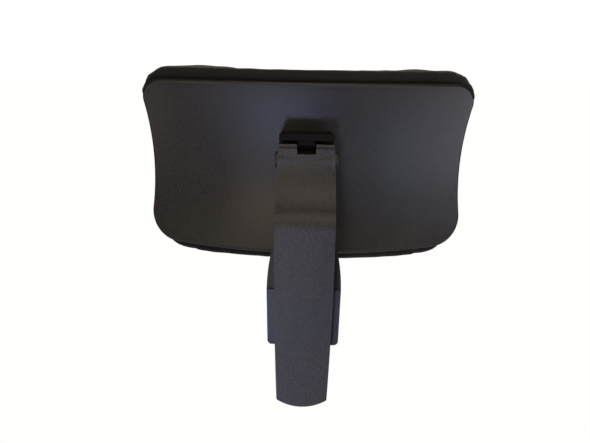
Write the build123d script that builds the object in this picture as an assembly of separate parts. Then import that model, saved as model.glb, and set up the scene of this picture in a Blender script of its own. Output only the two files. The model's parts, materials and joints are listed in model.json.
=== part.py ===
"""Height-adjustable, tilting headrest attachment for an office chair.

Frame: millimetres, +Z up, +Y to the rear of the chair and +X across it, to the left of
somebody who looks at the chair from behind. The origin is the centre of the two mounting
bolts, on the bracket's flat front face, which lies against the chair's back frame.
"""
from build123d import *
from math import asin, atan2, cos, degrees, radians, sin, sqrt
import os

# ---- mounting bracket -----------------------------------------------------------------
bracket_thickness = 13.5
bracket_foot_z = -36.0
bracket_shoulder_z = 14.0
bracket_top_z = 52.0
bracket_foot_half = 31.2
bracket_shoulder_half = 32.8
bracket_top_half = 28.0
bracket_foot_radius = 4.0
bracket_top_radius = 8.0
bracket_step = 3.5
bracket_top_thickness = 5.0
bracket_edge = 0.8
block_pad_margin = 1.0
bolt_spacing = 38.0
bolt_hole_radius = 3.3
bolt_head_radius = 6.2
bolt_seat_y = 15.0

plate_thickness = 3.0
plate_half_width = 22.0
plate_margin_z = 5.0
plate_corner_radius = 5.0
pocket_gap = 0.15

# ---- slide block on the bracket -------------------------------------------------------
travel = 45.0
block_foot_z = -30.0
block_top_z = 42.0
neck_half = 9.0
head_half = 13.0
head_thickness = 5.3
running_gap = 0.3
block_screw_x = 5.5
block_screw_z = (0.0, 31.0)
block_screw_radius = 1.75
block_screw_head_radius = 3.4
block_screw_length = 19.0
block_corner = 2.0

detent_x = 6.9
spring_width = 4.6
spring_thickness = 0.6
spring_length = 21.0
spring_recess_depth = 2.6
spring_side_gap = 0.3
spring_end_gap = 0.4
spring_rest_gap = 0.35
spring_seat_length = 3.6
spring_tail_share = 0.7
nub_z = -7.0
nub_radius = 1.6
nub_stand = 0.3
nub_root = 0.1
notch_count = 6
spring_screw_z = 8.0
spring_screw_radius = 1.25
spring_screw_head_radius = 2.0
spring_screw_length = 5.0
spring_screw_head = 1.3
spring_drive_radius = 0.8
spring_drive_floor = 0.6

stop_pin_radius = 2.5
stop_pin_drop = 5.5
stop_pin_depth = 5.0
stop_pin_reach = 2.0
stop_pin_chamfer = 0.4

# ---- arm ------------------------------------------------------------------------------
arm_gap = 1.5
arm_depth = 15.0
arm_wall = 3.0
arm_crown = 1.6
arm_crown_half = 30.0
arm_foot_margin = 2.9
arm_foot_drop = 6.1
arm_foot_half = 22.0
arm_widest_z = 88.0
arm_widest_half = 26.5
arm_head_rise = 10.8
arm_head_half = 24.8
arm_bend_z = 69.0
arm_bend_radius = 20.0
arm_cavity_drop = 7.0
arm_foot_corner = 1.6
channel_overcut = 4.0

head_step_depth = 4.0
head_step_rise = 3.7

rail_half = 15.6
rail_side_wall = 2.3
rail_back_wall = 2.2
rail_lip = 2.2
rail_foot_margin = 3.5
rail_top_margin = 10.0
rail_screw_x = 9.5
rail_screw_end = 4.5
rail_screw_radius = 1.4
rail_screw_head_radius = 2.7
rail_screw_length = 5.2
boss_wall = 0.6
boss_root = 0.5
boss_overlap = 2.0

cover_thickness = 2.4
cover_gap = 0.2
cover_foot_rise = 5.0
cover_screw_x = 12.0
cover_screw_drop = 4.0
cover_screw_radius = 1.4
cover_screw_head_radius = 2.6
cover_screw_length = 9.0
cover_boss_radius = 3.2

stiffener_half = 6.5
stiffener_thickness = 2.0
stiffener_foot_rise = 2.5
stiffener_top_drop = 2.0
stiffener_screw_drops = (10.5, 3.4)
stiffener_screw_length = 4.2
pan_head = 1.5
pan_drive_radius = 0.9
pan_drive_floor = 0.8

end_cap_height = 3.4
end_cap_skirt = 1.6
end_cap_screw_rise = 1.2
end_cap_screw_length = 12.5

# ---- tilt hinge -----------------------------------------------------------------------
hinge_y = -12.0
hinge_z = 126.0
knuckle_radius = 13.0
notch_half = 8.4
notch_floor_rise = 6.0
tongue_half = 7.4
tongue_radius = 10.5
tongue_gap = 0.5
notch_reach = 2.0
tongue_root_share = 0.8
pin_radius = 4.0
pin_gap = 0.05
bush_radius = 5.5
bush_flange_radius = 7.0
bush_flange = 0.8
counterbore_radius = 7.6
counterbore_floor = 18.6
washer_radius = 10.0
washer_thickness = 0.6
disc_spring_thickness = 0.6
disc_spring_count = 2
disc_spring_radius = 6.6
bolt_head_outer = 24.6
hinge_bolt_head_radius = 6.5
hinge_seat_gap = 0.15
hinge_bolt_end_gap = 0.5
socket_radius = 2.6
socket_depth = 2.4
nut_corner_radius = 6.4
end_cap_radius = 7.2
hinge_cap_outer = 27.9
hinge_cap_round = 1.2
hinge_cap_peg_gap = 0.3

# ---- headrest shell -------------------------------------------------------------------
shell_stand_off = 20.0
wrap_radius = 430.0
waist_radius = 250.0
saddle_z = 115.0
saddle_margin = 12.0

outline_waist_half = 142.0
outline_waist_z = 100.0
outline_side_radius = 277.0
outline_top_z = 195.6
outline_top_dip = 1.3
outline_foot_z = 39.0
outline_foot_radius = 1270.0
outline_top_corner = 17.0
outline_foot_corner = 28.0
outline_least_corner = 4.0

shell_wall = 3.2
rim_depth = 8.5
rim_wall = 3.0
rim_round = 4.0
rim_step_inset = 5.6
rim_step = 0.35

housing_half = 24.2
housing_rise = 24.0
housing_wall = 6.2
housing_rear_y = 1.6
housing_drop = 22.0
housing_base = 4.5
housing_corner = 2.5
housing_edge = 0.6
housing_root = 12.0
housing_screw_x = 17.0
housing_screw_foot_inset = 4.5
housing_screw_top_inset = 3.1
housing_boss_radius = 4.2
housing_boss_length = 7.0
housing_screw_radius = 2.0
housing_screw_head_radius = 3.6
housing_screw_head = 2.2
housing_screw_grip = 6.5
housing_drive_radius = 1.4
housing_drive_floor = 0.8
screw_clearance = 0.2
rib_gap = 1.5
rib_slope = 0.6
backing_plate_half = 22.0
backing_plate = 2.0

# ---- cushion --------------------------------------------------------------------------
board_depth = 10.0
board_thickness = 3.5
board_inset = 4.0
foam_depth = 56.0
foam_side_grow = -3.0
foam_top_grow = 11.0
foam_foot_grow = 7.0
foam_front_round = 6.0
fabric = 1.2
fabric_return = 20.0
clip_radius = 2.5
clip_head_radius = 5.0
clip_head = 1.6
clip_boss_radius = 5.0
clip_fit = 0.1
clip_tip_gap = 0.6
clip_tip_chamfer = 0.8
clip_pocket_gap = 0.3
clip_pocket_depth = 2.0
clip_inner_x = 45.0
clip_top_edge_gap = 30.0
clip_foot_edge_gap = 39.0
clip_top_drop = 29.6
clip_foot_rise = 32.0
staple_count = 28
staple_length = 10.0
staple_wire = 0.9
staple_leg = 3.0
staple_inset = 11.0
staple_stand = 0.4

# ---- values that follow ---------------------------------------------------------------
stop_pin_z = block_top_z - stop_pin_drop
rail_foot_z = block_foot_z - travel - rail_foot_margin
rail_top_z = block_top_z + rail_top_margin
arm_foot_z = rail_foot_z - arm_foot_margin
arm_head_z = hinge_z + arm_head_rise
arm_cavity_top_z = hinge_z - knuckle_radius - arm_cavity_drop
cover_foot_z = rail_top_z + cover_foot_rise
cover_screw_z = arm_bend_z - cover_screw_drop
stiffener_foot_z = rail_top_z + stiffener_foot_rise
stiffener_top_z = arm_cavity_top_z - stiffener_top_drop
stiffener_screw_z = [arm_bend_z - drop for drop in stiffener_screw_drops]
notch_floor_z = hinge_z + notch_floor_rise
housing_top_z = hinge_z + housing_rise
housing_foot_z = hinge_z - housing_drop
housing_screw_z = (housing_foot_z + housing_screw_foot_inset, housing_top_z - housing_screw_top_inset)
clip_top = (outline_top_z - clip_top_drop, outline_waist_half - clip_top_edge_gap)
clip_foot = (outline_foot_z + clip_foot_rise, outline_waist_half - clip_foot_edge_gap)
arm_front_y = bracket_thickness + arm_gap
arm_rear_y = arm_front_y + arm_depth
arm_head_rear_y = hinge_y + knuckle_radius
rail_front_y = arm_front_y + 0.4
head_front_y = rail_front_y + rail_lip + running_gap
head_rear_y = head_front_y + head_thickness
rail_rear_y = head_rear_y + running_gap + rail_back_wall
shell_rear_y = hinge_y - shell_stand_off
housing_screw_end_y = shell_rear_y + housing_base + housing_screw_grip
hinge_seat_x = counterbore_floor + bush_flange + hinge_seat_gap
notch_pitch = travel / (notch_count - 1)

# ---- reach of cutting solids, and the share of a screw head that its drive takes --------
far = 400.0
deep = 60.0
overcut = 1.0
skim = 0.1
tolerance = 0.01
drive_share = 0.6
drive_depth_share = 0.8


# ---- general helpers ------------------------------------------------------------------
def box(x, y, z):
    """Box between the pairs x, y and z."""
    centre = Pos((x[0] + x[1]) / 2, (y[0] + y[1]) / 2, (z[0] + z[1]) / 2)
    return centre * Box(abs(x[1] - x[0]), abs(y[1] - y[0]), abs(z[1] - z[0]))


def rod_y(x, z, radius, y):
    """Cylinder along Y between the pair y."""
    return Pos(x, (y[0] + y[1]) / 2, z) * Rot(90, 0, 0) * Cylinder(radius, abs(y[1] - y[0]))


def rod_x(radius, x, y=hinge_y, z=hinge_z):
    """Cylinder along X between the pair x, on the hinge axis unless told otherwise."""
    return Pos((x[0] + x[1]) / 2, y, z) * Rot(0, 90, 0) * Cylinder(radius, abs(x[1] - x[0]))


def cone_y(x, z, radius_from, radius_to, y_from, y_to):
    """Cone along +Y from y_from to y_to."""
    solid = Cone(radius_from, radius_to, y_to - y_from)
    return Pos(x, (y_from + y_to) / 2, z) * Rot(-90, 0, 0) * solid


def upright_prism(face, y):
    """Prism of a face drawn with its local x on X and its local y on Z, between the pair y."""
    return Pos(0, y[1], 0) * extrude(Plane.XZ * face, y[1] - y[0])


def countersunk_screw(x, z, y_face, length, radius, head_radius):
    """Countersunk screw along +Y with its flat head flush with y_face."""
    shank = rod_y(x, z, radius, (y_face, y_face + length))
    head = cone_y(x, z, head_radius, radius, y_face, y_face + head_radius - radius)
    drive_floor = y_face + (head_radius - radius) * drive_depth_share
    drive = rod_y(x, z, radius * drive_share, (y_face - overcut, drive_floor))
    return shank + head - drive


def group(solids):
    """Separate solids kept together in one node."""
    return Compound(children=list(solids))


# ---- mounting bracket -----------------------------------------------------------------
def bracket_outline():
    """Outline of the bracket seen from behind."""
    foot = Line((-bracket_foot_half, bracket_foot_z), (bracket_foot_half, bracket_foot_z))
    edges = [foot]
    top_right = (bracket_top_half, bracket_top_z)
    top_left = (-bracket_top_half, bracket_top_z)
    edges.append(Line((bracket_foot_half, bracket_foot_z), (bracket_shoulder_half, bracket_shoulder_z)))
    edges.append(TangentArc((bracket_shoulder_half, bracket_shoulder_z), top_right, tangent=(0, 1)))
    edges.append(Line(top_right, top_left))
    edges.append(TangentArc((-bracket_shoulder_half, bracket_shoulder_z), top_left, tangent=(0, 1)))
    edges.append(Line((-bracket_shoulder_half, bracket_shoulder_z), (-bracket_foot_half, bracket_foot_z)))
    face = make_face(edges)
    by_height = face.vertices().group_by(Axis.Y)
    face = fillet(by_height[-1], bracket_top_radius)
    return fillet(face.vertices().group_by(Axis.Y)[0], bracket_foot_radius)


def plate_outline(gap):
    """Outline of the steel load plate, grown by gap."""
    height = bracket_top_z - bracket_foot_z - 2 * plate_margin_z
    middle = (bracket_top_z + bracket_foot_z) / 2
    sheet = RectangleRounded(2 * (plate_half_width + gap), height + 2 * gap, plate_corner_radius)
    return Pos(0, middle) * sheet


def bolt_holes(radius, y):
    """The two mounting bolt holes, one above the other."""
    return [rod_y(0, side * bolt_spacing / 2, radius, y) for side in (-1, 1)]


def block_screw_places():
    """Centres of the screws that hold the slide block."""
    return [(side * block_screw_x, z) for z in block_screw_z for side in (-1, 1)]


def mount_bracket():
    """Moulded bracket with flat lower wings and wings that fall away forwards above them."""
    body = upright_prism(bracket_outline(), (0, bracket_thickness))
    body = fillet(body.edges().group_by(Axis.Y)[-1], bracket_edge)
    step_y = bracket_thickness - bracket_step
    fall = Polyline(
        (bracket_thickness + overcut, bracket_shoulder_z),
        (step_y, bracket_shoulder_z),
        (bracket_top_thickness, bracket_top_z + overcut),
        (bracket_thickness + overcut, bracket_top_z + overcut),
        close=True,
    )
    wedge = extrude(Plane.YZ * make_face(fall), far, both=True)
    pad_half = head_half + block_pad_margin
    pad_y = (-overcut, bracket_thickness + 2 * overcut)
    pad = box((-pad_half, pad_half), pad_y, (bracket_shoulder_z - overcut, far))
    body = body - (wedge - pad)
    body -= upright_prism(plate_outline(pocket_gap), (-overcut, plate_thickness))
    through = (-overcut, bracket_thickness + overcut)
    body -= bolt_holes(bolt_hole_radius, through)
    body -= [rod_y(x, z, block_screw_radius, through) for x, z in block_screw_places()]
    return body


def load_plate():
    """Steel plate let into the bracket's front face; it spreads the bolts' load."""
    plate = upright_prism(plate_outline(0), (0, plate_thickness))
    through = (-overcut, plate_thickness + overcut)
    plate -= bolt_holes(bolt_hole_radius, through)
    for x, z in block_screw_places():
        sink = block_screw_head_radius - block_screw_radius
        plate -= rod_y(x, z, block_screw_radius, through)
        plate -= cone_y(x, z, block_screw_head_radius, block_screw_radius, 0, sink)
    return plate


def slide_block():
    """T-shaped block that the arm's rail slides on; the bolt heads are sunk into it."""
    span = (block_foot_z, block_top_z)
    block = box((-neck_half, neck_half), (bracket_thickness, head_rear_y), span)
    block += box((-head_half, head_half), (head_front_y, head_rear_y), span)
    block = fillet(block.edges().filter_by(Axis.Y).group_by(Axis.X)[0], block_corner)
    block = fillet(block.edges().filter_by(Axis.Y).group_by(Axis.X)[-1], block_corner)
    block -= bolt_holes(bolt_hole_radius, (0, far))
    block -= bolt_holes(bolt_head_radius, (bolt_seat_y, far))
    screw_end = block_screw_length
    block -= [rod_y(x, z, block_screw_radius, (0, screw_end)) for x, z in block_screw_places()]
    floor = head_rear_y - spring_recess_depth
    half = spring_width / 2 + spring_side_gap
    length = spring_length / 2 + spring_end_gap
    block -= box((detent_x - half, detent_x + half), (floor, far), (-length, length))
    screw_y = (floor - spring_screw_length, far)
    block -= rod_y(detent_x, spring_screw_z, spring_screw_radius, screw_y)
    block -= rod_y(0, stop_pin_z, stop_pin_radius, (head_rear_y - stop_pin_depth, far))
    return block


def slide_block_screws():
    """Screws from the bracket's front face into the slide block."""
    size = (0, block_screw_length, block_screw_radius, block_screw_head_radius)
    return group(countersunk_screw(x, z, *size) for x, z in block_screw_places())


def detent_spring():
    """Leaf spring whose nub drops into the rail's notches."""
    floor = head_rear_y - spring_recess_depth
    half = spring_width / 2
    lift = spring_recess_depth - spring_thickness - spring_rest_gap
    seat_z = spring_screw_z - spring_seat_length
    tail = floor + lift * spring_tail_share
    line = Polyline(
        (floor, spring_length / 2),
        (floor, seat_z),
        (floor + lift, nub_z),
        (tail, -spring_length / 2),
        (tail + spring_thickness, -spring_length / 2),
        (floor + lift + spring_thickness, nub_z),
        (floor + spring_thickness, seat_z),
        (floor + spring_thickness, spring_length / 2),
        close=True,
    )
    strip = Pos(detent_x - half, 0, 0) * extrude(Plane.YZ * make_face(line), spring_width)
    crown_y = floor + lift
    nub = rod_x(nub_radius, (detent_x - half, detent_x + half), crown_y + nub_stand, nub_z)
    nub -= box((0, far), (-far, crown_y + nub_root), (-far, far))
    strip = strip + nub
    return strip - rod_y(detent_x, spring_screw_z, spring_screw_radius, (0, far))


def detent_spring_screw():
    """Small pan-head screw that clamps the leaf spring's fixed end."""
    seat = head_rear_y - spring_recess_depth + spring_thickness
    shank = rod_y(detent_x, spring_screw_z, spring_screw_radius, (seat - spring_screw_length, seat))
    head = rod_y(detent_x, spring_screw_z, spring_screw_head_radius, (seat, seat + spring_screw_head))
    drive_y = (seat + spring_drive_floor, seat + spring_screw_head + overcut)
    return shank + head - rod_y(detent_x, spring_screw_z, spring_drive_radius, drive_y)


def travel_stop_pin():
    """Steel pin in the slide block; it runs in the rail's slot and ends the travel."""
    reach = (head_rear_y - stop_pin_depth, head_rear_y + stop_pin_reach)
    pin = rod_y(0, stop_pin_z, stop_pin_radius, reach)
    return chamfer(pin.edges().group_by(Axis.Y)[-1], stop_pin_chamfer)


# ---- arm ------------------------------------------------------------------------------
def arm_path():
    """Rear line of the arm in the YZ plane: upright, swept forwards, upright again."""
    shift = arm_rear_y - arm_head_rear_y
    rise = hinge_z - arm_bend_z
    half_turn = atan2(shift, rise)
    turn = 2 * half_turn
    upper_radius = rise / sin(turn) - arm_bend_radius
    joint_y = arm_rear_y - arm_bend_radius * (1 - cos(turn))
    joint_z = arm_bend_z + arm_bend_radius * sin(turn)
    lower_mid = (
        arm_rear_y - arm_bend_radius * (1 - cos(half_turn)),
        arm_bend_z + arm_bend_radius * sin(half_turn),
    )
    upper_mid = (
        arm_head_rear_y + upper_radius * (1 - cos(half_turn)),
        hinge_z - upper_radius * sin(half_turn),
    )
    foot = Line((arm_rear_y, arm_foot_z - arm_foot_drop - overcut), (arm_rear_y, arm_bend_z))
    lower = ThreePointArc((arm_rear_y, arm_bend_z), lower_mid, (joint_y, joint_z))
    upper = ThreePointArc((joint_y, joint_z), upper_mid, (arm_head_rear_y, hinge_z))
    head = Line((arm_head_rear_y, hinge_z), (arm_head_rear_y, arm_head_z))
    return Plane.YZ * Wire([*foot.edges(), *lower.edges(), *upper.edges(), *head.edges()])


def arm_sweep(inset, depth):
    """Band along the arm from inset to depth, measured forwards from its crowned rear face."""
    edge = arm_crown_half
    rear = arm_rear_y - inset
    front = arm_rear_y - depth
    crown = ThreePointArc((edge, rear - arm_crown), (0, rear), (-edge, rear - arm_crown))
    left = Line((-edge, rear - arm_crown), (-edge, front))
    across = Line((-edge, front), (edge, front))
    right = Line((edge, front), (edge, rear - arm_crown))
    section = Pos(0, 0, arm_foot_z - arm_foot_drop - overcut) * make_face([crown, left, across, right])
    return sweep(section, path=arm_path())


def arm_outline(inset, foot_z=None):
    """Outline of the arm seen from behind, drawn in by inset; its foot is round or flat."""
    widest = arm_widest_half - inset
    foot = arm_foot_half - inset
    head = arm_head_half - inset
    head_z = arm_head_z + deep
    low = arm_foot_z if foot_z is None else foot_z
    right_foot = (foot, low)
    left_foot = (-foot, low)
    right_head = (head, arm_head_z)
    left_head = (-head, arm_head_z)
    edges = [
        TangentArc((widest, arm_widest_z), right_foot, tangent=(0, -1)),
        TangentArc((widest, arm_widest_z), right_head, tangent=(0, 1)),
        TangentArc((-widest, arm_widest_z), left_foot, tangent=(0, -1)),
        TangentArc((-widest, arm_widest_z), left_head, tangent=(0, 1)),
        Polyline(right_head, (head, head_z), (-head, head_z), left_head),
    ]
    if foot_z is None:
        edges.append(ThreePointArc(right_foot, (0, low - arm_foot_drop), left_foot))
    else:
        edges.append(Line(right_foot, left_foot))
    return make_face(edges)


def arm_prism(inset, foot_z=None):
    """Upright prism of the arm's outline, long enough to cut any of its pieces."""
    return upright_prism(arm_outline(inset, foot_z), (-far, far))


def rail_screw_places():
    """Centres of the rail's screws, near its two ends."""
    heights = (rail_foot_z + rail_screw_end, rail_top_z - rail_screw_end)
    return [(side * rail_screw_x, z) for z in heights for side in (-1, 1)]


def hinge_notch():
    """Space in the arm's head for the housing's tongue, over its whole swing."""
    across = (-notch_half, notch_half)
    space = rod_x(tongue_radius + tongue_gap, across)
    space += box(across, (-far, hinge_y), (hinge_z - tongue_radius - notch_reach, far))
    space += box(across, (hinge_y - overcut, far), (notch_floor_z, far))
    return space


def arm_shell():
    """Moulded arm: a crowned channel that sweeps forwards into two hinge knuckles."""
    outline = arm_outline(0)
    foot_corners = [v for v in outline.vertices() if abs(v.Y - arm_foot_z) < tolerance]
    outline = fillet(foot_corners, arm_foot_corner)
    skin = arm_sweep(0, arm_depth)
    step_y = arm_head_rear_y - head_step_depth
    top_z = arm_head_z + head_step_rise
    skin += box((-far, far), (hinge_y - overcut, step_y), (hinge_z, top_z))
    skin += rod_x(knuckle_radius, (-far / 2, far / 2))
    body = skin & upright_prism(outline, (-far, far))
    channel = arm_sweep(arm_wall, arm_depth + channel_overcut) & arm_prism(arm_wall, arm_foot_z - deep)
    channel &= box((-far, far), (-far, far), (-far, arm_cavity_top_z))
    body = body - channel
    body -= hinge_notch()
    body -= rod_x(bush_radius, (-far / 2, far / 2))
    for side in (-1, 1):
        body -= rod_x(counterbore_radius, (side * counterbore_floor, side * far / 2))
    seat_y = arm_rear_y - arm_wall - arm_crown
    boss_band = arm_sweep(arm_wall - boss_root, arm_depth)
    reach = (rail_rear_y, arm_rear_y)
    for x, z in rail_screw_places():
        body += rod_y(x, z, rail_screw_head_radius + boss_wall, reach) & boss_band
        screw_end = rail_rear_y - rail_back_wall + rail_screw_length
        body -= rod_y(x, z, rail_screw_radius, (rail_rear_y - overcut, screw_end))
    for side in (-1, 1):
        boss_front = arm_front_y + cover_thickness
        boss_y = (boss_front, seat_y + boss_overlap)
        body += rod_y(side * cover_screw_x, cover_screw_z, cover_boss_radius, boss_y)
        screw_end = arm_front_y + cover_screw_length
        body -= rod_y(side * cover_screw_x, cover_screw_z, cover_screw_radius, (0, screw_end))
    for z in stiffener_screw_z:
        stiffener_front = arm_rear_y - arm_wall - stiffener_thickness
        screw_end = stiffener_front + stiffener_screw_length
        body -= rod_y(0, z, cover_screw_radius, (stiffener_front, screw_end))
    body -= rod_y(0, end_cap_screw_z(), cover_screw_radius, (0, arm_front_y + end_cap_screw_length))
    return body


def slide_rail():
    """Low-friction rail inside the arm; its lips hook round the slide block's head."""
    span = (rail_foot_z, rail_top_z)
    inner = rail_half - rail_side_wall
    rail = box((-rail_half, rail_half), (rail_front_y, rail_rear_y), span)
    back_front = rail_rear_y - rail_back_wall
    rail -= box((-inner, inner), (rail_front_y + rail_lip, back_front), (-far, far))
    throat = neck_half + running_gap
    rail -= box((-throat, throat), (0, rail_front_y + rail_lip + overcut), (-far, far))
    slot_half = stop_pin_radius + running_gap
    slot = (stop_pin_z - travel - slot_half, stop_pin_z + slot_half)
    rail -= box((-slot_half, slot_half), (back_front - skim, far), slot)
    for index in range(notch_count):
        z = nub_z - index * notch_pitch
        half = spring_width / 2 + running_gap
        reach = nub_radius + running_gap
        rail -= box((detent_x - half, detent_x + half), (back_front - skim, far), (z - reach, z + reach))
    for x, z in rail_screw_places():
        sink = rail_screw_head_radius - rail_screw_radius
        rail -= rod_y(x, z, rail_screw_radius, (back_front, far))
        rail -= cone_y(x, z, rail_screw_head_radius, rail_screw_radius, back_front, back_front + sink)
    return rail


def rail_screws():
    """Countersunk screws that hold the rail to the arm."""
    face = rail_rear_y - rail_back_wall
    size = (face, rail_screw_length, rail_screw_radius, rail_screw_head_radius)
    return group(countersunk_screw(x, z, *size) for x, z in rail_screw_places())


def arm_front_cover():
    """Cover that closes the arm's curved front between the rail and the hinge."""
    band = arm_sweep(arm_depth - cover_thickness, arm_depth)
    cover = band & arm_prism(arm_wall + cover_gap, arm_foot_z - deep)
    cover &= box((-far, far), (-far, far), (cover_foot_z, arm_cavity_top_z - cover_gap))
    for side in (-1, 1):
        x = side * cover_screw_x
        sink_y = arm_front_y + cover_screw_head_radius - cover_screw_radius
        radii = (cover_screw_head_radius, cover_screw_radius)
        cover -= rod_y(x, cover_screw_z, cover_screw_radius, (0, far))
        cover -= cone_y(x, cover_screw_z, *radii, arm_front_y, sink_y)
    return cover


def front_cover_screws():
    """Countersunk screws that hold the front cover."""
    places = [side * cover_screw_x for side in (-1, 1)]
    size = (arm_front_y, cover_screw_length, cover_screw_radius, cover_screw_head_radius)
    return group(countersunk_screw(x, cover_screw_z, *size) for x in places)


def arm_stiffener():
    """Steel strip that follows the inside of the arm's curve."""
    band = arm_sweep(arm_wall, arm_wall + stiffener_thickness)
    span = (stiffener_foot_z, stiffener_top_z)
    strip = band & box((-stiffener_half, stiffener_half), (-far, far), span)
    for z in stiffener_screw_z:
        strip -= rod_y(0, z, cover_screw_radius, (0, far))
    return strip


def stiffener_screws():
    """Pan-head screws that hold the stiffener to the arm's rear wall."""
    seat = arm_rear_y - arm_wall - stiffener_thickness
    screws = []
    for z in stiffener_screw_z:
        shank = rod_y(0, z, cover_screw_radius, (seat - skim, seat + stiffener_screw_length))
        head = rod_y(0, z, cover_screw_head_radius, (seat - pan_head, seat))
        drive_y = (seat - pan_head - overcut, seat - pan_drive_floor)
        screws.append(shank + head - rod_y(0, z, pan_drive_radius, drive_y))
    return group(screws)


def end_cap_screw_z():
    """Height of the end cap's screw."""
    return arm_foot_z - end_cap_height / 2 + end_cap_screw_rise


def arm_end_cap():
    """Plug that closes the channel's foot below the slide block's travel."""
    top = rail_foot_z - cover_gap
    plug = arm_prism(arm_wall + cover_gap, arm_foot_z - deep)
    plug_y = (arm_front_y, arm_rear_y - arm_wall - arm_crown)
    plug &= box((-far, far), plug_y, (top - end_cap_height - end_cap_skirt, top))
    z = end_cap_screw_z()
    sink = cover_screw_head_radius - cover_screw_radius
    plug -= rod_y(0, z, cover_screw_radius, (0, far))
    plug -= cone_y(0, z, cover_screw_head_radius, cover_screw_radius, arm_front_y, arm_front_y + sink)
    return plug


def end_cap_screw():
    """Countersunk screw that holds the end cap."""
    size = (arm_front_y, end_cap_screw_length, cover_screw_radius, cover_screw_head_radius)
    return countersunk_screw(0, end_cap_screw_z(), *size)


def hinge_bushes():
    """Flanged plastic bushes in the two knuckles."""
    bushes = []
    for side in (-1, 1):
        inner = side * notch_half
        outer = side * counterbore_floor
        flange = side * (counterbore_floor + bush_flange)
        bush = rod_x(bush_radius, (inner, outer)) + rod_x(bush_flange_radius, (outer, flange))
        bushes.append(bush - rod_x(pin_radius + pin_gap, (-far, far)))
    return group(bushes)


# ---- headrest shell and hinge housing -------------------------------------------------
def saddle_y(x, z, depth=0.0):
    """Y of the surface that lies depth in front of the shell's saddle-shaped rear surface."""
    wrap = wrap_radius - depth
    level = waist_radius + wrap_radius - sqrt(wrap * wrap - x * x)
    return shell_rear_y + waist_radius - sqrt(level * level - (z - saddle_z) ** 2)


def saddle_slab(depth_from, depth_to):
    """Solid between two offsets of the saddle, measured forwards from the shell's rear surface."""
    centre_y = shell_rear_y - wrap_radius
    outer = wrap_radius - depth_from
    inner = wrap_radius - depth_to
    half = asin((side_half(outline_top_z + foam_top_grow, 0) + saddle_margin) / inner)

    def arc(radius, sense):
        points = [(radius * sin(a), centre_y + radius * cos(a)) for a in (-half * sense, 0, half * sense)]
        return ThreePointArc(*points)

    rear = arc(outer, 1)
    front = arc(inner, -1)
    band = make_face([rear, Line(rear @ 1, front @ 0), front, Line(front @ 1, rear @ 0)])
    axis = Axis((0, shell_rear_y + waist_radius, saddle_z), (1, 0, 0))
    above = outline_top_z + foam_top_grow - saddle_z
    below = saddle_z - outline_foot_z + foam_foot_grow
    turn = degrees(asin((max(above, below) + saddle_margin) / waist_radius))
    start = (Pos(0, 0, saddle_z) * band).rotate(axis, -turn)
    return revolve(start, axis, revolution_arc=2 * turn)


def side_half(z, grow):
    """Half-width of the outline at height z; the sides are arcs waisted inwards."""
    reach = z - outline_waist_z
    return outline_waist_half + grow + outline_side_radius - sqrt(outline_side_radius ** 2 - reach ** 2)


def headrest_outline(side_grow=0.0, top_grow=0.0, foot_grow=0.0):
    """Waisted outline seen from behind, grown at its sides, at its top and at its foot."""
    top = outline_top_z + top_grow
    drop = side_half(outline_foot_z, side_grow) ** 2 / (2 * outline_foot_radius)
    foot = outline_foot_z - foot_grow
    corner_foot = foot + drop
    right_top = (side_half(top, side_grow), top)
    left_top = (-right_top[0], top)
    right_foot = (side_half(corner_foot, side_grow), corner_foot)
    left_foot = (-right_foot[0], corner_foot)
    waist = outline_waist_half + side_grow
    face = make_face(
        [
            ThreePointArc(left_top, (0, top - outline_top_dip), right_top),
            ThreePointArc(right_top, (waist, outline_waist_z), right_foot),
            ThreePointArc(right_foot, (0, foot), left_foot),
            ThreePointArc(left_foot, (-waist, outline_waist_z), left_top),
        ]
    )
    top_corner = max(outline_top_corner + top_grow, outline_least_corner)
    foot_corner = max(outline_foot_corner + foot_grow, outline_least_corner)
    face = fillet(face.vertices().group_by(Axis.Y)[-1], top_corner)
    edge = right_foot[0] - tolerance
    corners = [v for v in face.vertices() if v.Y < corner_foot + tolerance and abs(v.X) > edge]
    return fillet(corners, foot_corner)


def headrest_prism(side_grow=0.0, top_grow=0.0, foot_grow=0.0):
    """Upright prism of the headrest's outline."""
    return upright_prism(headrest_outline(side_grow, top_grow, foot_grow), (-far, far))


def inset_prism(inset):
    """Upright prism of the headrest's outline drawn in all round."""
    return headrest_prism(-inset, -inset, -inset)


def outer_face(solid, direction):
    """The large curved face on the rear (+1) or the front (-1) of a saddle-shaped solid."""
    large = solid.faces().sort_by(SortBy.AREA)[-2:]
    return large.sort_by(Axis.Y)[-1 if direction > 0 else 0]


def clip_places():
    """Centres of the snap clips that hold the cushion board to the shell."""
    rows = [(z, x) for z, edge_x in (clip_top, clip_foot) for x in (edge_x, clip_inner_x)]
    return [(side * x, z) for z, x in rows for side in (-1, 1)]


def housing_screw_places():
    """Centres of the screws that hold the hinge housing."""
    return [(side * housing_screw_x, z) for z in housing_screw_z for side in (-1, 1)]


def rear_shell():
    """Moulded saddle-shaped tray behind the cushion, with clip bosses inside."""
    tray = saddle_slab(0, rim_depth) & headrest_prism()
    tray = fillet(outer_face(tray, 1).edges(), rim_round)
    tray -= saddle_slab(shell_wall, rim_depth + overcut) & inset_prism(rim_wall)
    border = headrest_prism(overcut, overcut, overcut) - inset_prism(rim_step_inset)
    tray -= border & saddle_slab(-overcut, rim_step)
    boss_band = saddle_slab(shell_wall - boss_root, board_depth - clip_fit)
    for x, z in clip_places():
        floor = saddle_y(x, z) - shell_wall
        tray += rod_y(x, z, clip_boss_radius, (-far, far)) & boss_band
        tray -= rod_y(x, z, clip_radius + clip_fit, (-far, floor))
    for x, z in housing_screw_places():
        tray -= rod_y(x, z, housing_screw_radius + screw_clearance, (-far, far))
    return tray


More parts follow.
